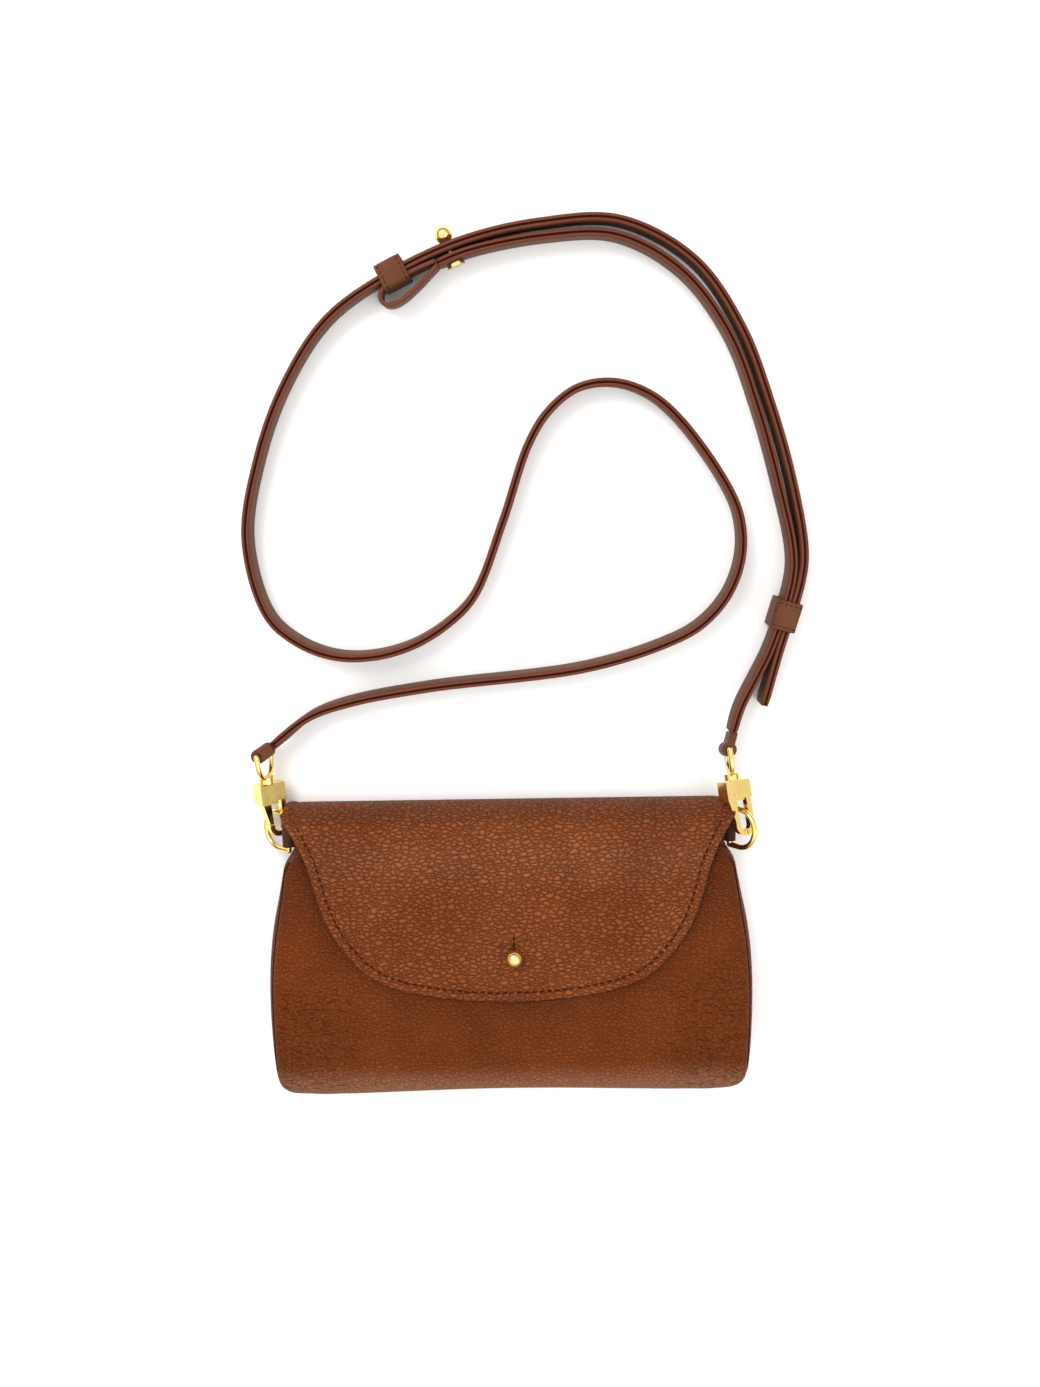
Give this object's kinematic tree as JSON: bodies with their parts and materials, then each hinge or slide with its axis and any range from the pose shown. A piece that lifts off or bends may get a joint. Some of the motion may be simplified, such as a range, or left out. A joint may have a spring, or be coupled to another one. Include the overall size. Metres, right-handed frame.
{
  "type": "crossbody purse",
  "caption": "Small flat flap purse in brown pebbled leather lying on its back, with a ball stud closure, side rings, snap hooks and a narrow adjustable crossbody strap laid in curves beside it",
  "frame": {"origin": "middle of the flat back face the purse rests on, halfway across its width and between its base edge and its fold, at the resting plane", "axes": "+X along the width towards the end where the strap's tail lies, +Y from the base up to the mouth and the fold, +Z out of the front face, away from the surface the purse lies on"},
  "size_m": [0.2198, 0.3396, 0.0362],
  "materials": {
    "body_leather": "pebbled satin",
    "lining_suede": "matt",
    "strap_leather": "smooth satin",
    "gold_metal": "polished"
  },
  "bodies": {
    "bag": {"back_panel": "body_leather", "front_panel": "body_leather", "base_panel": "body_leather", "gusset_left": "body_leather", "gusset_right": "body_leather", "lining": "lining_suede", "front_facing": "body_leather", "back_facing": "body_leather", "tab_left": "body_leather", "tab_right": "body_leather", "stud": "gold_metal", "stud_screw": "gold_metal", "stud_patch": "lining_suede", "eye_left": "gold_metal", "eye_right": "gold_metal", "strap_long": "strap_leather", "strap_short": "strap_leather", "end_loop_left": "strap_leather", "end_loop_right": "strap_leather", "return_loop": "strap_leather", "keeper_upper": "strap_leather", "strap_stud": "gold_metal", "strap_stud_screw": "gold_metal"},
    "flap": {"flap_outer": "body_leather", "flap_lining": "lining_suede"},
    "ring_left": {"ring_left": "gold_metal"},
    "ring_right": {"ring_right": "gold_metal"},
    "hook_left": {"hook_left": "gold_metal", "gate_pin_left": "gold_metal", "gate_spring_left": "gold_metal"},
    "hook_right": {"hook_right": "gold_metal", "gate_pin_right": "gold_metal", "gate_spring_right": "gold_metal"},
    "gate_left": {"gate_left": "gold_metal"},
    "gate_right": {"gate_right": "gold_metal"},
    "keeper": {"keeper_lower": "strap_leather"}
  },
  "joints": [
    {"name": "flap_hinge", "type": "hinge", "parent": "bag", "child": "flap", "pos_m": [0, 0.05773, 0.02211], "axis": [-1, 0, 0], "range_deg": [0, 165]},
    {"name": "ring_left_swing", "type": "hinge", "parent": "bag", "child": "ring_left", "pos_m": [-0.0886, 0.0505, 0.0118], "axis": [0, 1, 0], "range_deg": [-2, 2]},
    {"name": "ring_right_swing", "type": "hinge", "parent": "bag", "child": "ring_right", "pos_m": [0.0886, 0.0505, 0.0118], "axis": [0, 1, 0], "range_deg": [-2, 2]},
    {"name": "hook_left_swivel", "type": "hinge", "parent": "bag", "child": "hook_left", "pos_m": [-0.0952, 0.0582, 0.0096], "axis": [-0.0872, 0.9962, 0], "range_deg": [-3, 3]},
    {"name": "hook_right_swivel", "type": "hinge", "parent": "bag", "child": "hook_right", "pos_m": [0.0905, 0.0583, 0.0173], "axis": [-0.136, 0.9675, -0.213], "range_deg": [-3, 3]},
    {"name": "gate_left_hinge", "type": "hinge", "parent": "hook_left", "child": "gate_left", "pos_m": [-0.0973, 0.06464, 0.01089], "axis": [0.6403, 0.056, 0.766], "range_deg": [0, 7], "stiffness_Nm_per_rad": 0.004, "springref_deg": -20.05},
    {"name": "gate_right_hinge", "type": "hinge", "parent": "hook_right", "child": "gate_right", "pos_m": [0.08778, 0.06461, 0.01672], "axis": [0.3916, 0.25, 0.8855], "range_deg": [0, 7], "stiffness_Nm_per_rad": 0.004, "springref_deg": -20.05},
    {"name": "keeper_slide", "type": "slide", "parent": "bag", "child": "keeper", "axis": [0.278, 0.9606, 0], "range_m": [-0.008, 0.008]}
  ]
}
